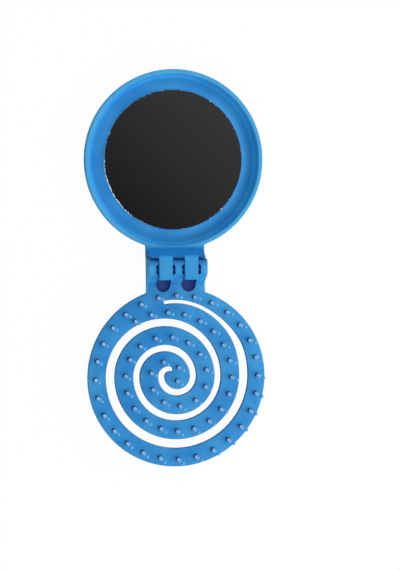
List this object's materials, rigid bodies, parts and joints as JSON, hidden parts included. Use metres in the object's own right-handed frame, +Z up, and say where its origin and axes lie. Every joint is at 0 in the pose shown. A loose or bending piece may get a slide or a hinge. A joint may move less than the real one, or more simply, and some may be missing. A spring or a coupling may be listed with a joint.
{
  "type": "folding hairbrush with mirror",
  "caption": "Round pocket hairbrush with ball-tipped pins on a springy spiral-slotted plate, hinged to a round dished lid that holds a mirror.",
  "frame": {"origin": "middle of the footprint of the brush opened flat, on the surface that the lid's flat back rests on, straight below the middle of the hinge", "axes": "+Z up, the side that carries the mirror and the pins; +Y from the hinge to the lid, so the brush disc is on -Y; X along the hinge axis"},
  "size_m": [0.067, 0.148, 0.0175],
  "materials": {
    "blue_plastic": "glossy moulded polypropylene, clear bright blue",
    "mirror": "silvered float glass with a ground edge",
    "adhesive": "white foam mounting pad"
  },
  "bodies": {
    "lid": {"lid_shell": "blue_plastic", "mirror_glass": "mirror", "mirror_adhesive": "adhesive"},
    "brush": {"brush_plate": "blue_plastic", "pins_outer_ring": "blue_plastic", "pins_spiral_turn_1": "blue_plastic", "pins_spiral_turn_2": "blue_plastic", "pins_centre": "blue_plastic"}
  },
  "joints": [
    {"name": "fold", "type": "hinge", "parent": "lid", "child": "brush", "pos_m": [0, 0, 0.01057], "axis": [-1, 0, 0], "range_deg": [0, 180]}
  ]
}
